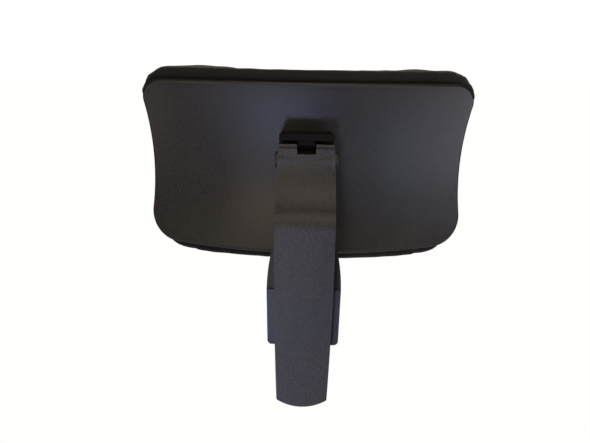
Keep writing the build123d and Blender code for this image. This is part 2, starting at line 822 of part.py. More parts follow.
def hinge_housing():
    """Housing on the shell: base, overhanging top wall, and the tongue between the knuckles."""
    span = (-housing_half, housing_half)
    front = shell_rear_y - housing_root
    roof_z = housing_top_z - housing_wall
    body = box(span, (front, shell_rear_y + housing_base), (housing_foot_z, housing_top_z))
    body += box(span, (front, housing_rear_y), (roof_z, housing_top_z))
    upright = body.edges().filter_by(Axis.Y).group_by(Axis.Z)
    body = fillet(upright[-1], housing_corner)
    body = fillet(body.edges().filter_by(Axis.Y).group_by(Axis.Z)[0], housing_corner)
    body = fillet(body.edges().group_by(Axis.Y)[-1], housing_edge)
    boss_end = shell_rear_y + housing_base + housing_boss_length
    for x, z in housing_screw_places():
        if z < roof_z:
            body += rod_y(x, z, housing_boss_radius, (front, boss_end))
    tongue_y = (front, hinge_y)
    thick = tongue_radius * tongue_root_share
    tongue = box((-tongue_half, tongue_half), tongue_y, (hinge_z - thick, hinge_z + thick))
    tongue += rod_x(tongue_radius, (-tongue_half, tongue_half))
    rib_rear = hinge_y + tongue_radius
    rib_line = Polyline(
        (front, hinge_z),
        (hinge_y, notch_floor_z + rib_gap),
        (rib_rear, notch_floor_z + rib_gap + tongue_radius * rib_slope),
        (rib_rear, roof_z + rib_gap),
        (front, roof_z + rib_gap),
        close=True,
    )
    tongue += Pos(-tongue_half, 0, 0) * extrude(Plane.YZ * make_face(rib_line), 2 * tongue_half)
    body += tongue
    body -= rod_x(pin_radius, (-far / 2, far / 2))
    body -= saddle_slab(0, deep)
    for x, z in housing_screw_places():
        body -= rod_y(x, z, housing_screw_radius, (-far, housing_screw_end_y))
    return body


def hinge_backing_plate():
    """Pressed steel plate inside the shell behind the hinge screws."""
    span = (housing_foot_z, housing_top_z)
    plate = saddle_slab(shell_wall, shell_wall + backing_plate)
    plate &= box((-backing_plate_half, backing_plate_half), (-far, far), span)
    for x, z in housing_screw_places():
        seat = saddle_y(x, z, shell_wall + backing_plate)
        plate -= rod_y(x, z, housing_screw_radius + screw_clearance, (-far, far))
        plate -= rod_y(x, z, housing_screw_head_radius, (seat - housing_screw_head, seat))
    return plate


def housing_screws():
    """Screws from inside the shell into the hinge housing."""
    screws = []
    for x, z in housing_screw_places():
        seat = saddle_y(x, z, shell_wall + backing_plate)
        screw = rod_y(x, z, housing_screw_radius, (seat, housing_screw_end_y))
        screw += rod_y(x, z, housing_screw_head_radius, (seat - housing_screw_head, seat))
        drive_y = (seat - housing_screw_head - overcut, seat - housing_drive_floor)
        screws.append(screw - rod_y(x, z, housing_drive_radius, drive_y))
    return group(screws)


def hinge_bolt():
    """Shoulder bolt on the hinge axis; its head sinks into one knuckle."""
    bolt = rod_x(pin_radius, (hinge_bolt_end_gap - bolt_head_outer, bolt_head_outer))
    bolt += rod_x(hinge_bolt_head_radius, (hinge_seat_x, bolt_head_outer))
    return bolt - rod_x(socket_radius, (bolt_head_outer - socket_depth, bolt_head_outer + overcut))


def disc_spring_span(index):
    """X span of one disc spring, counted outwards from the knuckle."""
    start = hinge_seat_x + index * disc_spring_thickness
    return (-start - disc_spring_thickness, -start)


def disc_springs():
    """Disc springs that press the knuckles against the tongue and set the tilt friction."""
    bore = rod_x(pin_radius, (-far, far))
    spans = [disc_spring_span(index) for index in range(disc_spring_count)]
    return group(rod_x(disc_spring_radius, span) - bore for span in spans)


def hinge_lock_nut():
    """Lock nut that loads the disc springs."""
    inner = disc_spring_span(disc_spring_count - 1)[0]
    hexagon = Rot(0, 90, 0) * extrude(RegularPolygon(nut_corner_radius, 6), bolt_head_outer + inner)
    nut = Pos(-bolt_head_outer, hinge_y, hinge_z) * hexagon
    return nut - rod_x(pin_radius, (-far, far))


def friction_washers():
    """Friction washers on each side of the tongue."""
    washers = []
    for side in (-1, 1):
        disc = rod_x(washer_radius, (side * tongue_half, side * (tongue_half + washer_thickness)))
        washers.append(disc - rod_x(pin_radius, (-far, far)))
    return group(washers)


def hinge_end_caps():
    """Round caps that stand a little proud of the arm on each side of the hinge."""
    caps = []
    for side in (-1, 1):
        cap = rod_x(end_cap_radius, (side * bolt_head_outer, side * hinge_cap_outer))
        rim = cap.edges().sort_by(Axis.X)[-1 if side > 0 else 0]
        caps.append(fillet(rim, hinge_cap_round))
    peg_x = (bolt_head_outer - socket_depth + hinge_cap_peg_gap, bolt_head_outer + skim)
    caps[1] += rod_x(socket_radius, peg_x)
    return group(caps)


# ---- cushion --------------------------------------------------------------------------
def cushion_board():
    """Stiff board that carries the foam and the cover."""
    board = saddle_slab(board_depth, board_depth + board_thickness) & inset_prism(board_inset)
    return board - [rod_y(x, z, clip_radius, (-far, far)) for x, z in clip_places()]


def cushion_clips():
    """Snap studs pressed through the board into the shell's bosses."""
    clips = []
    head_depth = board_depth + board_thickness
    head_band = saddle_slab(head_depth, head_depth + clip_head)
    for x, z in clip_places():
        front = saddle_y(x, z, head_depth)
        tip = saddle_y(x, z, shell_wall + clip_tip_gap)
        stud = rod_y(x, z, clip_radius, (front - overcut, tip))
        stud = chamfer(stud.edges().group_by(Axis.Y)[-1], clip_tip_chamfer)
        clips.append(stud + (rod_y(x, z, clip_head_radius, (-far, far)) & head_band))
    return group(clips)


def foam_block(grow):
    """The cushion's outer form, grown by grow all round, from behind the board forwards."""
    block = saddle_slab(board_depth - grow, foam_depth + grow)
    block &= headrest_prism(foam_side_grow + grow, foam_top_grow + grow, foam_foot_grow + grow)
    return fillet(outer_face(block, -1).edges(), foam_front_round + grow)


def cushion_foam():
    """Foam pad wrapped round the board's edge."""
    pad = foam_block(0)
    board_space = saddle_slab(board_depth - overcut, board_depth + board_thickness)
    pad -= board_space & inset_prism(board_inset)
    for x, z in clip_places():
        front = saddle_y(x, z, board_depth + board_thickness)
        pocket_floor = front - clip_head - clip_pocket_depth
        pad -= rod_y(x, z, clip_head_radius + clip_pocket_gap, (pocket_floor, far))
    return pad


def cushion_cover():
    """Fabric cover drawn over the foam and turned in behind the board's edge."""
    cover = foam_block(fabric) - foam_block(0)
    opening = inset_prism(fabric_return) & saddle_slab(0, board_depth + overcut)
    return cover - opening


def cover_staples():
    """Staples that hold the turned-in fabric to the board."""
    line = headrest_outline(-staple_inset, -staple_inset, -staple_inset).face().outer_wire()
    half = staple_wire / 2
    crown_y = (staple_stand, staple_stand + staple_wire)
    leg_y = (-fabric - staple_leg, staple_stand + skim)
    staples = []
    for index in range(staple_count):
        place = index / staple_count
        at = line.position_at(place)
        along = line.tangent_at(place)
        turn = degrees(atan2(along.Y, along.X))
        y = saddle_y(at.X, at.Y, board_depth - fabric)
        staple = box((-staple_length / 2, staple_length / 2), crown_y, (-half, half))
        for side in (-1, 1):
            x = side * (staple_length - staple_wire) / 2
            staple += box((x - half, x + half), leg_y, (-half, half))
        staples.append(Pos(at.X, y, at.Y) * Rot(0, -turn, 0) * staple)
    return group(staples)


NODES = [
    mount_bracket,
    load_plate,
    slide_block,
    slide_block_screws,
    detent_spring,
    detent_spring_screw,
    travel_stop_pin,
    arm_shell,
    slide_rail,
    rail_screws,
    arm_front_cover,
    front_cover_screws,
    arm_stiffener,
    stiffener_screws,
    arm_end_cap,
    end_cap_screw,
    hinge_bushes,
    rear_shell,
    hinge_housing,
    hinge_backing_plate,
    housing_screws,
    hinge_bolt,
    disc_springs,
    hinge_lock_nut,
    friction_washers,
    hinge_end_caps,
    cushion_board,
    cushion_clips,
    cushion_foam,
    cushion_cover,
    cover_staples,
]


def main():
    """Write one STEP file for each node."""
    os.makedirs("parts", exist_ok=True)
    for make in NODES:
        export_step(make(), f"parts/{make.__name__}.step")


main()
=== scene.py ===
"""Looks of a chair headrest: cloth, moulded plastics, metals and studio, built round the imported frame."""

import json
import logging
import math
from dataclasses import dataclass, field
from enum import Enum
from typing import Dict, Iterable, List, Optional, Sequence, Tuple

import bmesh
import bpy
from mathutils import Matrix, Vector, noise

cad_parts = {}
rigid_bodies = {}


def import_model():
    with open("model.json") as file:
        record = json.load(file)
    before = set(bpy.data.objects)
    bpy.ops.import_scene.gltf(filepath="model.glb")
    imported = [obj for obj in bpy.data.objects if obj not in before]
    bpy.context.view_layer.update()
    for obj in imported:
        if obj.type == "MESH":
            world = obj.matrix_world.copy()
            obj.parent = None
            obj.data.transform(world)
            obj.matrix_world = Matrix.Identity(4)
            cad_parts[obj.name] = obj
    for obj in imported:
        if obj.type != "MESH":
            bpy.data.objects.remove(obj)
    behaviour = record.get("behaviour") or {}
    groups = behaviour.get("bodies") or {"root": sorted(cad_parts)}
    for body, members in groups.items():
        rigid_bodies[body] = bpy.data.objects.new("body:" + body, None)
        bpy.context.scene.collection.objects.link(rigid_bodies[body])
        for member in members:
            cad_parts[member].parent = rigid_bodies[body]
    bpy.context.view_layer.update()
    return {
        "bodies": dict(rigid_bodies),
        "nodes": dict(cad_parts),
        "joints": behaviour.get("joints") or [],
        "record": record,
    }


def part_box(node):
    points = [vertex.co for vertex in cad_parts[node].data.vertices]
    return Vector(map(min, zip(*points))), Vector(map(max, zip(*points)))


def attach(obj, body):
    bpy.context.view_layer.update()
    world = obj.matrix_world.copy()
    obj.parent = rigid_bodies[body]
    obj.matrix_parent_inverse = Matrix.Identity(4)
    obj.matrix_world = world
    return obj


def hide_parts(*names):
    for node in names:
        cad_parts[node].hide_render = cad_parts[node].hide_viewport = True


LOG = logging.getLogger("headrest")
MM = 0.001
Colour = Tuple[float, float, float]


class Gloss(Enum):
    """How shiny a moulded or plated surface is, as its roughness."""

    DULL = 0.62
    SATIN = 0.37
    SLICK = 0.3


# ---- node trees -----------------------------------------------------------------------
class Tree:
    """Small helper that adds and joins shader nodes."""

    def __init__(self, tree: bpy.types.NodeTree) -> None:
        """Keep the tree that nodes are added to.

        Args:
            tree: a material's, world's or group's node tree.
        """
        self.tree = tree

    def add(
        self, kind: str, inputs: Optional[Dict[str, object]] = None, **settings: object
    ) -> bpy.types.Node:
        """Add a node.

        Args:
            kind: the node's type, without the ShaderNode prefix.
            inputs: values or output sockets for named inputs.
            settings: attributes of the node.

        Returns:
            The new node.
        """
        prefix = "" if kind.startswith("NodeGroup") else "ShaderNode"
        node = self.tree.nodes.new(prefix + kind)
        for name, value in settings.items():
            setattr(node, name, value)
        for name, value in (inputs or {}).items():
            self.feed(node, name, value)
        return node

    def feed(self, node: bpy.types.Node, name: object, value: object) -> None:
        """Set or link one input.

        Args:
            node: the node whose input is fed.
            name: the input's name or index.
            value: a number, a colour or an output socket.
        """
        socket = node.inputs[name]
        if isinstance(value, bpy.types.NodeSocket):
            self.tree.links.new(value, socket)
        else:
            socket.default_value = value

    def math(self, operation: str, first: object, second: object = 0.0) -> bpy.types.NodeSocket:
        """Result of a Math node.

        Args:
            operation: the Math node's operation.
            first: number or socket.
            second: number or socket.

        Returns:
            The node's output socket.
        """
        node = self.add("Math", {}, operation=operation)
        self.feed(node, 0, first)
        self.feed(node, 1, second)
        return node.outputs[0]

    def remap(
        self, value: object, low: float, high: float, to_low: float, to_high: float
    ) -> bpy.types.NodeSocket:
        """Value moved from one range to another, clamped.

        Args:
            value: the socket to remap.
            low: start of the range it has.
            high: end of the range it has.
            to_low: what the start becomes.
            to_high: what the end becomes.

        Returns:
            The remapped socket.
        """
        inputs = {"Value": value, "From Min": low, "From Max": high, "To Min": to_low, "To Max": to_high}
        return self.add("MapRange", inputs).outputs["Result"]

    def mix(self, factor: object, first: object, second: object) -> bpy.types.NodeSocket:
        """Colour between two colours.

        Args:
            factor: 0 for the first, 1 for the second.
            first: colour or socket.
            second: colour or socket.

        Returns:
            The mixed colour's socket.
        """
        node = self.add("Mix", {}, data_type="RGBA")
        self.feed(node, 0, factor)
        self.feed(node, 6, first)
        self.feed(node, 7, second)
        return node.outputs[2]


def new_group(
    name: str, inputs: Dict[str, float], outputs: Sequence[str]
) -> Tuple[Tree, bpy.types.Node, bpy.types.Node]:
    """Start a shader node group.

    Args:
        name: the group's name.
        inputs: each number input and its default; a Vector input is always added first.
        outputs: names of the number outputs.

    Returns:
        The group's tree, its input node and its output node.
    """
    group = bpy.data.node_groups.new(name, "ShaderNodeTree")
    group.interface.new_socket("Vector", in_out="INPUT", socket_type="NodeSocketVector")
    for label, value in inputs.items():
        socket = group.interface.new_socket(label, in_out="INPUT", socket_type="NodeSocketFloat")
        socket.default_value = value
    for label in outputs:
        group.interface.new_socket(label, in_out="OUTPUT", socket_type="NodeSocketFloat")
    tree = Tree(group)
    return tree, tree.add("NodeGroupInput"), tree.add("NodeGroupOutput")


def grain_group() -> bpy.types.NodeTree:
    """Spark-eroded mould grain: rounded pits of mixed size.

    Returns:
        A group giving two outputs, both 0 to 1: the grain's height, and a mask of its peaks that lightens
            them in colour as a painted glint.
    """
    inputs = {"Pits per Metre": 1200.0, "Coarseness": 0.5}
    tree, source, result = new_group("mould_grain", inputs, ("Height", "Tint"))
    place = source.outputs["Vector"]
    pits = source.outputs["Pits per Metre"]
    cells = tree.add("TexVoronoi", {"Vector": place, "Scale": pits, "Smoothness": 0.6}, feature="SMOOTH_F1")
    close = tree.math("MULTIPLY", pits, 1.7)
    fine = tree.add("TexNoise", {"Vector": place, "Scale": close, "Detail": 3.0, "Roughness": 0.6})
    apart = tree.math("MULTIPLY", pits, 0.35)
    broad = tree.add("TexNoise", {"Vector": place, "Scale": apart, "Detail": 2.0})
    rough = tree.math("MULTIPLY", fine.outputs["Fac"], 0.7)
    domes = tree.math("MULTIPLY", cells.outputs["Distance"], source.outputs["Coarseness"])
    wide = tree.math("MULTIPLY", broad.outputs["Fac"], 0.35)
    height = tree.math("ADD", tree.math("ADD", rough, domes), wide)
    tree.feed(result, "Height", height)
    # painted glint: this mask is high only on the grain's peaks, and the materials lighten those peaks with
    # it like small highlights
    tree.feed(result, "Tint", tree.remap(height, 0.55, 1.05, 0.0, 1.0))
    return tree.tree


def handling_group() -> bpy.types.NodeTree:
    """Faint cloudy marks that handling leaves on a moulding.

    Returns:
        A group giving Cloud, 0 to 1.
    """
    tree, source, result = new_group("handling_marks", {"Size": 18.0}, ("Cloud",))
    place = {"Vector": source.outputs["Vector"], "Scale": source.outputs["Size"]}
    cloud = tree.add("TexNoise", {**place, "Detail": 5.0, "Roughness": 0.55})
    tree.feed(result, "Cloud", tree.remap(cloud.outputs["Fac"], 0.35, 0.68, 0.0, 1.0))
    return tree.tree


def knit_group() -> bpy.types.NodeTree:
    """Warp-knit spacer cloth: columns of small loops with open holes between them.

    Returns:
        A group giving Height, 0 in a hole to 1 on a yarn, and Yarn, a lengthwise shade.
    """
    tree, source, result = new_group("knit", {"Rows per Metre": 900.0}, ("Height", "Yarn"))
    scale = tree.add("VectorMath", {0: source.outputs["Vector"]}, operation="SCALE")
    tree.feed(scale, "Scale", source.outputs["Rows per Metre"])
    parts = tree.add("SeparateXYZ", {"Vector": scale.outputs[0]})
    across = tree.math("MULTIPLY", parts.outputs["X"], 2 * math.pi)
    along = tree.math("MULTIPLY", parts.outputs["Y"], 2 * math.pi)
    bend = tree.math("MULTIPLY", tree.math("SINE", along), 0.8)
    ribs = tree.math("COSINE", tree.math("ADD", across, bend))
    loops = tree.math("COSINE", tree.math("ADD", along, tree.math("MULTIPLY", ribs, 1.2)))
    both = tree.math("ADD", tree.math("MULTIPLY", ribs, 0.5), tree.math("MULTIPLY", loops, 0.5))
    tree.feed(result, "Height", tree.remap(both, -0.9, 0.9, 0.0, 1.0))
    tree.feed(result, "Yarn", tree.remap(loops, -1.0, 1.0, 0.0, 1.0))
    return tree.tree


class Effects:
    """The shader node groups that several materials share, each built once."""

    def __init__(self) -> None:
        """Build every group."""
        self.grain = grain_group()
        self.handling = handling_group()
        self.knit = knit_group()

    @staticmethod
    def use(tree: Tree, group: bpy.types.NodeTree, vector: object, **values: float) -> bpy.types.Node:
        """Place a group in a material.

        Args:
            tree: the material's tree.
            group: the group to place.
            vector: socket that gives the place on the surface.
            values: the group's number inputs, with underscores for spaces.

        Returns:
            The placed group node.
        """
        node = tree.add("Group", {}, node_tree=group)
        tree.feed(node, "Vector", vector)
        for name, value in values.items():
            tree.feed(node, name.replace("_", " "), value)
        return node


# ---- finishes -------------------------------------------------------------------------
def start_material(name: str) -> Tuple[bpy.types.Material, Tree, bpy.types.Node, bpy.types.Node]:
    """Make an empty material with its Principled shader.

    Args:
        name: the material's name.

    Returns:
        The material, its tree, its shader node and its coordinate node.
    """
    material = bpy.data.materials.new(name)
    material.use_nodes = True
    tree = Tree(material.node_tree)
    material.node_tree.nodes.clear()
    shader = tree.add("BsdfPrincipled")
    output = tree.add("OutputMaterial")
    tree.feed(output, "Surface", shader.outputs["BSDF"])
    return material, tree, shader, tree.add("TexCoord")


@dataclass(frozen=True)
class MouldedPlastic:
    """Grained black moulding, with painted glints on its grain peaks and real handling marks."""

    name: str
    base: Colour
    glint_and_wear: Colour
    gloss: Gloss
    pits: float
    coarseness: float = 0.5
    depth: float = 0.05 * MM
    specular: float = 0.5

    def material(self, effects: Effects) -> bpy.types.Material:
        """Build the material.

        Args:
            effects: the shared node groups.

        Returns:
            The material.
        """
        material, tree, shader, place = start_material(self.name)
        spot = place.outputs["Object"]
        grain = effects.use(tree, effects.grain, spot, Pits_per_Metre=self.pits, Coarseness=self.coarseness)
        marks = effects.use(tree, effects.handling, spot, Size=16.0)
        # painted glint: grain peaks are mixed towards the lighter second colour as painted highlights; the
        # handling marks added on top are real wear
        painted_glint = tree.math("MULTIPLY", grain.outputs["Tint"], 0.75)
        shade = tree.math("ADD", painted_glint, tree.math("MULTIPLY", marks.outputs["Cloud"], 0.25))
        tree.feed(shader, "Base Color", tree.mix(shade, (*self.base, 1.0), (*self.glint_and_wear, 1.0)))
        matt = self.gloss.value
        spread = tree.math("ADD", tree.math("MULTIPLY", marks.outputs["Cloud"], 0.07), matt - 0.05)
        peaks = tree.math("MULTIPLY", grain.outputs["Tint"], 0.06)
        tree.feed(shader, "Roughness", tree.math("ADD", spread, peaks))
        shader.inputs["Specular IOR Level"].default_value = self.specular
        relief = {"Height": grain.outputs["Height"], "Distance": self.depth, "Strength": 0.8}
        bump = tree.add("Bump", relief)
        tree.feed(shader, "Normal", bump.outputs["Normal"])
        return material


@dataclass(frozen=True)
class PlatedSteel:
    """Zinc-plated or oiled steel with fine drawing lines."""

    name: str
    base: Colour
    dull: Colour
    roughness: float

    def material(self, effects: Effects) -> bpy.types.Material:
        """Build the material.

        Args:
            effects: the shared node groups.

        Returns:
            The material.
        """
        material, tree, shader, place = start_material(self.name)
        spot = place.outputs["Object"]
        stretch = tree.add("Mapping", {"Vector": spot, "Scale": (6.0, 6.0, 0.4)})
        lines = tree.add("TexNoise", {"Vector": stretch.outputs["Vector"], "Scale": 900.0, "Detail": 2.0})
        marks = effects.use(tree, effects.handling, spot, Size=60.0)
        colour = tree.mix(marks.outputs["Cloud"], (*self.base, 1.0), (*self.dull, 1.0))
        tree.feed(shader, "Base Color", colour)
        shader.inputs["Metallic"].default_value = 1.0
        low, high = self.roughness - 0.06, self.roughness + 0.1
        tree.feed(shader, "Roughness", tree.remap(lines.outputs["Fac"], 0.3, 0.7, low, high))
        bump = tree.add("Bump", {"Height": lines.outputs["Fac"], "Distance": 0.01 * MM, "Strength": 0.5})
        tree.feed(shader, "Normal", bump.outputs["Normal"])
        return material


@dataclass(frozen=True)
class KnitCloth:
    """Black knitted cover cloth, patterned along its own UV map."""

    name: str
    base: Colour
    yarn: Colour
    rows: float = 850.0
    sheen: float = 0.25

    def material(self, effects: Effects) -> bpy.types.Material:
        """Build the material.

        Args:
            effects: the shared node groups.

        Returns:
            The material.
        """
        material, tree, shader, place = start_material(self.name)
        knit = effects.use(tree, effects.knit, place.outputs["UV"], Rows_per_Metre=self.rows)
        marks = effects.use(tree, effects.handling, place.outputs["Object"], Size=30.0)
        fuzz = tree.add("TexNoise", {"Vector": place.outputs["Object"], "Scale": 2600.0, "Detail": 2.0})
        loops = tree.math("MULTIPLY", knit.outputs["Height"], 0.7)
        raised = tree.math("ADD", loops, tree.math("MULTIPLY", fuzz.outputs["Fac"], 0.3))
        soiled = tree.math("MULTIPLY", marks.outputs["Cloud"], 0.25)
        shade = tree.math("ADD", tree.math("MULTIPLY", raised, 0.75), soiled)
        tree.feed(shader, "Base Color", tree.mix(shade, (*self.base, 1.0), (*self.yarn, 1.0)))
        tree.feed(shader, "Roughness", tree.remap(knit.outputs["Yarn"], 0.0, 1.0, 0.95, 0.8))
        shader.inputs["Specular IOR Level"].default_value = 0.2
        shader.inputs["Sheen Weight"].default_value = self.sheen
        shader.inputs["Sheen Roughness"].default_value = 0.45
        bump = tree.add("Bump", {"Height": raised, "Distance": 0.18 * MM, "Strength": 0.7})
        tree.feed(shader, "Normal", bump.outputs["Normal"])
        return material


class Palette:
    """Every finish of the headrest, made once."""

    def __init__(self, effects: Effects) -> None:
        """Build the materials.

        Args:
            effects: the shared node groups.
        """
        soot, ash, pale = (0.0055, 0.0050, 0.0057), (0.021, 0.0195, 0.0215), (0.034, 0.032, 0.035)
        jet, shade_black = (0.0045, 0.0042, 0.0048), (0.0035, 0.0032, 0.0037)
        coal, slate = (0.011, 0.011, 0.012), (0.016, 0.016, 0.018)
        iron, stone = (0.03, 0.03, 0.03), (0.05, 0.05, 0.05)
        satin, dull, slick_gloss = Gloss.SATIN, Gloss.DULL, Gloss.SLICK
        # the second colour of each plastic takes the painted glints on the grain's peaks as well as the
        # real handling marks
        shell = MouldedPlastic("shell_plastic", soot, ash, satin, 1000.0, coarseness=0.7, depth=0.1 * MM)
        arm = MouldedPlastic("arm_plastic", jet, pale, satin, 620.0, coarseness=1.0, depth=0.3 * MM)
        # painted shade: the hinge housing gets a darker, duller copy of the shell plastic so that its face
        # reads as shaded
        housing = MouldedPlastic("housing_shaded_plastic", shade_black, soot, dull, 1000.0, specular=0.12)
        frame = MouldedPlastic("bracket_plastic", soot, ash, satin, 1200.0)
        slick = MouldedPlastic("acetal", coal, slate, slick_gloss, 2200.0, depth=0.01 * MM)
        board = MouldedPlastic("board_plastic", iron, stone, dull, 800.0)
        zinc = PlatedSteel("zinc_plate", (0.62, 0.62, 0.63), (0.48, 0.47, 0.45), 0.3)
        spring = PlatedSteel("spring_steel", (0.4, 0.41, 0.44), (0.3, 0.29, 0.28), 0.26)
        cloth = KnitCloth("knit_cloth", (0.005, 0.0045, 0.004), (0.025, 0.0228, 0.02))
        self.shell = shell.material(effects)
        self.arm = arm.material(effects)
        self.housing = housing.material(effects)
        self.frame = frame.material(effects)
        self.slick = slick.material(effects)
        self.board = board.material(effects)
        self.zinc = zinc.material(effects)
        self.spring = spring.material(effects)
        self.cloth = cloth.material(effects)


def dress(nodes: Dict[str, bpy.types.Object], names: Iterable[str], material: bpy.types.Material) -> None:
    """Give CAD nodes a material.

    Args:
        nodes: the frame's nodes.
        names: names of the nodes to dress.
        material: the material they get.
    """
    for name in names:
        mesh = nodes[name].data
        mesh.materials.clear()
        mesh.materials.append(material)
        LOG.info("%s dressed in %s", name, material.name)


# ---- cushion --------------------------------------------------------------------------
@dataclass
class Saddle:
    """The curved surface that shell, board and cushion follow; depth runs forwards from its rear."""

    rear_y: float = -32.0 * MM
    wrap_radius: float = 430.0 * MM
    waist_radius: float = 250.0 * MM
    middle_z: float = 115.0 * MM

    def flatten(self, point: Vector) -> Tuple[float, float, float]:
        """Place of a point on the unrolled saddle.

        Args:
            point: place in the frame.

        Returns:
            Distance across, depth behind the front, and distance up, in metres.
        """
        axis_y = self.rear_y + self.waist_radius
        level = math.hypot(point.y - axis_y, point.z - self.middle_z)
        turn = math.atan2(point.z - self.middle_z, axis_y - point.y)
        ahead = axis_y - level - (self.rear_y - self.wrap_radius)
        around = math.atan2(point.x, ahead)
        depth = self.wrap_radius - math.hypot(point.x, ahead)
        return around * self.wrap_radius, depth, turn * (self.waist_radius + depth)

    def outward(self, point: Vector) -> Vector:
        """Direction straight out of the saddle, forwards, at a point.

        Args:
            point: place in the frame.

        Returns:
            Unit vector towards the sitter.
        """
        axis_y = self.rear_y + self.waist_radius
        away = Vector((0.0, point.y - axis_y, point.z - self.middle_z)).normalized()
        side = -point.x / self.wrap_radius
        return Vector((side, away.y, away.z)).normalized()


@dataclass
class Cushion:
    """Foam pad in a knitted cover, drawn over the board's edge and gathered at its corners."""

    saddle: Saddle = field(default_factory=Saddle)
    voxel: float = 4.0 * MM
    merge_distance: float = 0.01 * MM
    smoothing: int = 3
    pressure: float = 4.0
    frames: int = 20
    swell_cap: float = 6.0 * MM
    pinned_depth: float = 17.0 * MM
    seam_depth: float = 47.0 * MM
    seam_width: float = 2.2 * MM
    seam_sink: float = 1.6 * MM
    seam_facing: float = 0.8
    panel_facing: float = 0.6
    corner_inset: float = 24.0 * MM
    gather_reach: float = 20.0 * MM
    gather_height: float = 0.9 * MM
    gather_folds: float = 9.0
    gather_depth: float = 30.0 * MM
    gather_start: float = 8.0 * MM
    gather_arc: float = 0.75
    fold_wander: float = 1.2
    wander_scale: float = 45.0
    unevenness: float = 0.25 * MM
    uneven_scale: float = 28.0
    corner_spread: float = 7.0 * MM
    spread_drop: float = 26.0 * MM

    def build(self, nodes: Dict[str, bpy.types.Object], cloth: bpy.types.Material) -> bpy.types.Object:
        """Make the cushion in place of its CAD solids.

        Args:
            nodes: the frame's nodes.
            cloth: the cover's material.

        Returns:
            The cushion's object.
        """
        piece = self.start_form(nodes["cushion_foam"])
        self.inflate(piece)
        self.finish_form(piece)
        self.gather(piece)
        self.press_seam(piece)
        self.lay_cloth(piece)
        piece.data.materials.clear()
        piece.data.materials.append(cloth)
        for face in piece.data.polygons:
            face.use_smooth = True
        return piece

    def start_form(self, pad: bpy.types.Object) -> bpy.types.Object:
        """Copy the pad's solid, merge its doubled points and remesh it evenly.

        Args:
            pad: the foam pad's CAD object.

        Returns:
            A new object with an even mesh, a little inside the cover's final form.
        """
        mesh = pad.data.copy()
        mesh.name = "cushion"
        piece = bpy.data.objects.new("cushion", mesh)
        bpy.context.scene.collection.objects.link(piece)
        form = bmesh.new()
        form.from_mesh(mesh)
        bmesh.ops.remove_doubles(form, verts=form.verts, dist=self.merge_distance)
        bmesh.ops.recalc_face_normals(form, faces=form.faces)
        form.to_mesh(mesh)
        form.free()
        remesh = piece.modifiers.new("even", "REMESH")
        remesh.mode = "VOXEL"
        remesh.voxel_size = self.voxel
        self.apply(piece)
        return piece

    def apply(self, piece: bpy.types.Object) -> None:
        """Turn the live modifiers' result into the mesh.

        Args:
            piece: the object whose modifiers are applied.
        """
        graph = bpy.context.evaluated_depsgraph_get()
        result = bpy.data.meshes.new_from_object(piece.evaluated_get(graph), depsgraph=graph)
        old = piece.data
        piece.modifiers.clear()
        piece.data = result
        bpy.data.meshes.remove(old)

    def inflate(self, piece: bpy.types.Object) -> None:
        """Swell the cover by a short cloth simulation, held where it is stapled.

        Args:
            piece: the remeshed cushion.
        """
        start = [v.co.copy() for v in piece.data.vertices]
        depths = [self.saddle.flatten(p)[1] for p in start]
        held = piece.vertex_groups.new(name="stapled")
        held.add([i for i, d in enumerate(depths) if d < self.pinned_depth], 1.0, "REPLACE")
        cloth = piece.modifiers.new("swell", "CLOTH")
        settings = cloth.settings
        settings.quality = 6
        settings.mass = 0.3
        settings.tension_stiffness = 18.0
        settings.compression_stiffness = 12.0
        settings.shear_stiffness = 8.0
        settings.bending_stiffness = 0.8
        settings.use_pressure = True
        settings.uniform_pressure_force = self.pressure
        settings.shrink_min = -0.015
        settings.vertex_group_mass = "stapled"
        settings.effector_weights.gravity = 0.0
        cloth.collision_settings.use_collision = False
        cloth.point_cache.frame_start = 1
        cloth.point_cache.frame_end = self.frames
        for frame in range(1, self.frames + 1):
            bpy.context.scene.frame_set(frame)
        self.apply(piece)
        bpy.context.scene.frame_set(1)
        for vertex, before in zip(piece.data.vertices, start):
            move = vertex.co - before
            if move.length > self.swell_cap:
                vertex.co = before + move.normalized() * self.swell_cap
        piece.vertex_groups.clear()

    def finish_form(self, piece: bpy.types.Object) -> None:
        """Smooth the swollen mesh once and divide it for fine detail.

        Args:
            piece: the swollen cushion.
        """
        form = bmesh.new()
        form.from_mesh(piece.data)
        every_axis = {"use_axis_x": True, "use_axis_y": True, "use_axis_z": True}
        for _ in range(self.smoothing):
            bmesh.ops.smooth_vert(form, verts=form.verts, factor=0.5, **every_axis)
        bmesh.ops.recalc_face_normals(form, faces=form.faces)
        form.to_mesh(piece.data)
        form.free()
        finer = piece.modifiers.new("finer", "SUBSURF")
        finer.levels = 1
        finer.render_levels = 1
        self.apply(piece)

    def gather(self, piece: bpy.types.Object) -> None:
        """Raise small folds at the two top corners, and spread those corners sideways.

        Args:
            piece: the cushion.
        """
        _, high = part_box("cushion_foam")
        normals = [v.normal.copy() for v in piece.data.vertices]
        for vertex, normal in zip(piece.data.vertices, normals):
            point = vertex.co
            depth = self.saddle.flatten(point)[1]
            side = math.copysign(1.0, point.x)
            across = point.x * side - (high.x - self.corner_inset)
            up = point.z - (high.z - self.corner_inset)
            lift = noise.noise(point * self.uneven_scale) * self.unevenness
            if across > -self.gather_reach and up > -self.gather_reach:
                angle = math.atan2(up, across)
                near = math.exp(-(((angle - 0.25 * math.pi) / self.gather_arc) ** 2))
                wander = noise.noise(point * self.wander_scale) * self.fold_wander + side
                fold = math.sin(angle * self.gather_folds + wander) ** 3
                fade = max(0.0, 1.0 - max(0.0, depth - self.gather_start) / self.gather_depth)
                lift += fold * near * fade * self.gather_height
            vertex.co += normal * lift
            outer = min(1.0, max(0.0, 1.0 + across / self.spread_drop))
            top = min(1.0, max(0.0, 1.0 + up / self.spread_drop))
            vertex.co.x += side * self.corner_spread * outer * top

